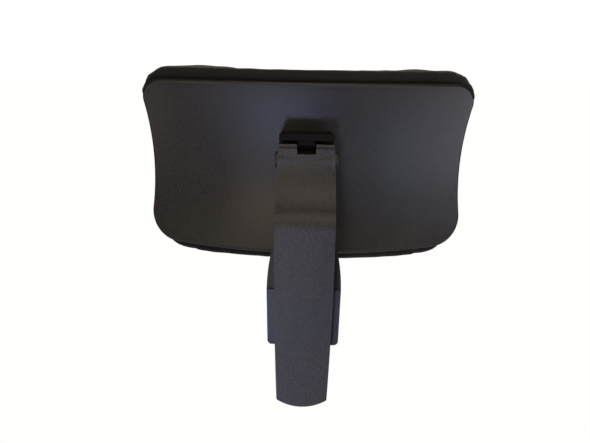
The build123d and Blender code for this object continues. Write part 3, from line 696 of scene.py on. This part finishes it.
    def press_seam(self, piece: bpy.types.Object) -> None:
        """Press the sewn seam between the front panel and the side band.

        Args:
            piece: the cushion.
        """
        normals = [v.normal.copy() for v in piece.data.vertices]
        for vertex, normal in zip(piece.data.vertices, normals):
            depth = self.saddle.flatten(vertex.co)[1]
            forwards = abs(normal.dot(self.saddle.outward(vertex.co)))
            if forwards > self.seam_facing:
                continue
            offset = (depth - self.seam_depth) / self.seam_width
            vertex.co -= normal * math.exp(-offset * offset) * self.seam_sink

    def lay_cloth(self, piece: bpy.types.Object) -> None:
        """Give the cover a UV map in metres, one panel each for front, back and the four sides.

        Args:
            piece: the cushion.
        """
        mesh = piece.data
        layer = mesh.uv_layers.new(name="cloth")
        flat = [self.saddle.flatten(v.co) for v in mesh.vertices]
        for face in mesh.polygons:
            forwards = abs(face.normal.dot(self.saddle.outward(face.center)))
            for loop in face.loop_indices:
                across, depth, up = flat[mesh.loops[loop].vertex_index]
                if forwards > self.panel_facing:
                    layer.data[loop].uv = (across, up)
                elif abs(face.normal.x) > abs(face.normal.z):
                    layer.data[loop].uv = (depth, up)
                else:
                    layer.data[loop].uv = (across, depth)


# ---- casings and mechanism ------------------------------------------------------------
@dataclass
class HeadShell:
    """Rear shell, hinge housing and what holds them together."""

    casings: Sequence[str] = ("rear_shell",)
    steel: Sequence[str] = ("hinge_backing_plate", "housing_screws", "hinge_bolt", "hinge_lock_nut")
    springs: Sequence[str] = ("disc_springs", "cover_staples")
    nylon: Sequence[str] = ("friction_washers",)
    board: Sequence[str] = ("cushion_board", "cushion_clips")

    def dress(self, nodes: Dict[str, bpy.types.Object], palette: Palette) -> None:
        """Give the headrest's CAD nodes their finishes.

        Args:
            nodes: the frame's nodes.
            palette: the finishes.
        """
        dress(nodes, self.casings, palette.shell)
        # painted shade: the housing takes the darker copy of the shell plastic
        dress(nodes, ("hinge_housing",), palette.housing)
        dress(nodes, ("hinge_end_caps",), palette.arm)
        dress(nodes, self.steel, palette.zinc)
        dress(nodes, self.springs, palette.spring)
        dress(nodes, self.nylon, palette.slick)
        dress(nodes, self.board, palette.board)


@dataclass
class Arm:
    """Sliding arm with its rail, covers and bushes."""

    casings: Sequence[str] = ("arm_shell",)
    covers: Sequence[str] = ("arm_front_cover", "arm_end_cap")
    slides: Sequence[str] = ("slide_rail", "hinge_bushes")
    steel: Sequence[str] = (
        "rail_screws",
        "front_cover_screws",
        "arm_stiffener",
        "stiffener_screws",
        "end_cap_screw",
    )

    def dress(self, nodes: Dict[str, bpy.types.Object], palette: Palette) -> None:
        """Give the arm's CAD nodes their finishes.

        Args:
            nodes: the frame's nodes.
            palette: the finishes.
        """
        dress(nodes, self.casings, palette.arm)
        dress(nodes, self.covers, palette.frame)
        dress(nodes, self.slides, palette.slick)
        dress(nodes, self.steel, palette.zinc)


@dataclass
class Bracket:
    """Mount bracket with its load plate, slide block and detent."""

    casings: Sequence[str] = ("mount_bracket",)
    slides: Sequence[str] = ("slide_block",)
    steel: Sequence[str] = ("load_plate", "slide_block_screws", "detent_spring_screw", "travel_stop_pin")
    springs: Sequence[str] = ("detent_spring",)

    def dress(self, nodes: Dict[str, bpy.types.Object], palette: Palette) -> None:
        """Give the bracket's CAD nodes their finishes.

        Args:
            nodes: the frame's nodes.
            palette: the finishes.
        """
        dress(nodes, self.casings, palette.frame)
        dress(nodes, self.slides, palette.slick)
        dress(nodes, self.steel, palette.zinc)
        dress(nodes, self.springs, palette.spring)


# ---- studio ---------------------------------------------------------------------------
@dataclass(frozen=True)
class Softbox:
    """A square area light on a sphere round the headrest; bearing 0 is straight behind, + towards +X."""

    name: str
    bearing: float
    height: float
    size: float
    power: float
    colour: Colour
    distance: float = 1.4

    def set_up(self, aim: Vector) -> None:
        """Add the light.

        Args:
            aim: point that the light faces.
        """
        bearing, height = math.radians(self.bearing), math.radians(self.height)
        level = self.distance * math.cos(height)
        rise = self.distance * math.sin(height)
        away = Vector((level * math.sin(bearing), level * math.cos(bearing), rise))
        light = bpy.data.lights.new(self.name, "AREA")
        light.shape = "SQUARE"
        light.size = self.size
        light.energy = self.power
        light.color = self.colour
        lamp = bpy.data.objects.new(self.name, light)
        lamp.location = aim + away
        lamp.rotation_euler = (aim - lamp.location).to_track_quat("-Z", "Y").to_euler()
        lamp.visible_camera = False
        bpy.context.scene.collection.objects.link(lamp)


@dataclass
class Studio:
    """Pale floor, soft light and the camera."""

    aim: Tuple[float, float, float] = (0.0094, -0.028, 0.068)
    lit: Tuple[float, float, float] = (0.0, -0.01, 0.09)
    distance: float = 0.9
    elevation: float = 9.0
    swing: float = 0.8
    roll: float = 1.1
    lens: float = 60.2
    floor_drop: float = 0.75
    floor_size: float = 60.0

    def boxes(self) -> List[Softbox]:
        """The softboxes.

        Returns:
            One entry for each light.
        """
        return [
            Softbox("cool_low", 9, -20, 0.22, 3.3, (0.53, 0.62, 1.0)),
            Softbox("cool_right", -35, -10, 0.4, 2.4, (0.67, 0.77, 1.0)),
            Softbox("warm_rear", 13, 8, 0.3, 2.2, (1.0, 0.79, 0.56)),
            Softbox("high_rear", 0, 52, 0.5, 1.85, (1.0, 0.86, 0.81)),
            Softbox("overhead", 0, 78, 0.8, 2.2, (1.0, 0.88, 0.75)),
            Softbox("warm_high_right", -40, 35, 0.6, 2.3, (1.0, 0.76, 0.3)),
            Softbox("warm_high_left", 40, 35, 0.6, 2.0, (1.0, 0.93, 0.45)),
            Softbox("side_right", -62, -12, 0.6, 4.6, (0.89, 0.88, 1.0)),
            Softbox("side_left", 62, -12, 0.6, 1.5, (1.0, 0.86, 0.71)),
            Softbox("low_left", 28, -32, 0.5, 1.2, (0.83, 0.82, 1.0)),
            Softbox("front_fill", 180, 30, 1.2, 10.0, (1.0, 0.97, 0.93), 2.0),
        ]

    def build(self) -> None:
        """Set up world, floor, lights and camera."""
        scene = bpy.context.scene
        scene.view_settings.view_transform = "Standard"
        self.world(scene)
        self.floor()
        for softbox in self.boxes():
            softbox.set_up(Vector(self.lit))
        self.camera(scene)

    def world(self, scene: bpy.types.Scene) -> None:
        """White backdrop, and a dimmer even light on the object.

        Args:
            scene: the scene that gets the world.
        """
        world = bpy.data.worlds.new("studio")
        world.use_nodes = True
        world.node_tree.nodes.clear()
        tree = Tree(world.node_tree)
        rays = tree.add("LightPath")
        backdrop = tree.add("Background", {"Color": (1.0, 1.0, 0.985, 1.0), "Strength": 1.05})
        room = tree.add("Background", {"Color": (1.0, 0.97, 0.93, 1.0), "Strength": 0.05})
        seen = rays.outputs["Is Camera Ray"]
        both = tree.add("MixShader", {0: seen, 1: room.outputs[0], 2: backdrop.outputs[0]})
        output = tree.add("OutputWorld")
        tree.feed(output, "Surface", both.outputs[0])
        scene.world = world

    def floor(self) -> None:
        """Large pale floor under the headrest."""
        form = bmesh.new()
        bmesh.ops.create_grid(form, x_segments=1, y_segments=1, size=self.floor_size)
        bmesh.ops.translate(form, verts=form.verts, vec=(0.0, 0.0, -self.floor_drop))
        mesh = bpy.data.meshes.new("floor")
        form.to_mesh(mesh)
        form.free()
        floor = bpy.data.objects.new("floor", mesh)
        bpy.context.scene.collection.objects.link(floor)
        material = bpy.data.materials.new("paper")
        material.use_nodes = True
        material.node_tree.nodes.clear()
        tree = Tree(material.node_tree)
        rays = tree.add("LightPath")
        paper = tree.add("BsdfDiffuse", {"Color": (0.8, 0.79, 0.77, 1.0)})
        lit = tree.add("Emission", {"Color": (1.0, 1.0, 0.985, 1.0), "Strength": 1.0})
        seen = rays.outputs["Is Camera Ray"]
        both = tree.add("MixShader", {0: seen, 1: paper.outputs[0], 2: lit.outputs[0]})
        tree.feed(tree.add("OutputMaterial"), "Surface", both.outputs[0])
        mesh.materials.append(material)

    def camera(self, scene: bpy.types.Scene) -> None:
        """Camera behind the headrest, a little above it.

        Args:
            scene: the scene that gets the camera.
        """
        rise, swing, roll = (math.radians(v) for v in (self.elevation, self.swing, self.roll))
        level_share = math.cos(rise)
        back = Vector((-math.sin(swing) * level_share, math.cos(swing) * level_share, math.sin(rise)))
        right = (-back).cross(Vector((0, 0, 1))).normalized()
        up = right.cross(-back)
        level = right * math.cos(roll) + up * math.sin(roll)
        over = up * math.cos(roll) - right * math.sin(roll)
        data = bpy.data.cameras.new("view")
        data.lens = self.lens
        data.sensor_width = 36.0
        camera = bpy.data.objects.new("view", data)
        turn = Matrix((level, over, back)).transposed().to_4x4()
        camera.matrix_world = Matrix.Translation(Vector(self.aim) + back * self.distance) @ turn
        scene.collection.objects.link(camera)
        scene.camera = camera


def main() -> None:
    """Build the headrest's looks in order."""
    logging.basicConfig(level=logging.INFO, format="%(name)s: %(message)s")
    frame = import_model()
    nodes = frame["nodes"]
    palette = Palette(Effects())
    Bracket().dress(nodes, palette)
    Arm().dress(nodes, palette)
    HeadShell().dress(nodes, palette)
    cushion = Cushion().build(nodes, palette.cloth)
    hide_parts("cushion_foam", "cushion_cover")
    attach(cushion, "headrest")
    LOG.info("cushion built with %d faces", len(cushion.data.polygons))
    Studio().build()


if __name__ == "__main__":
    main()
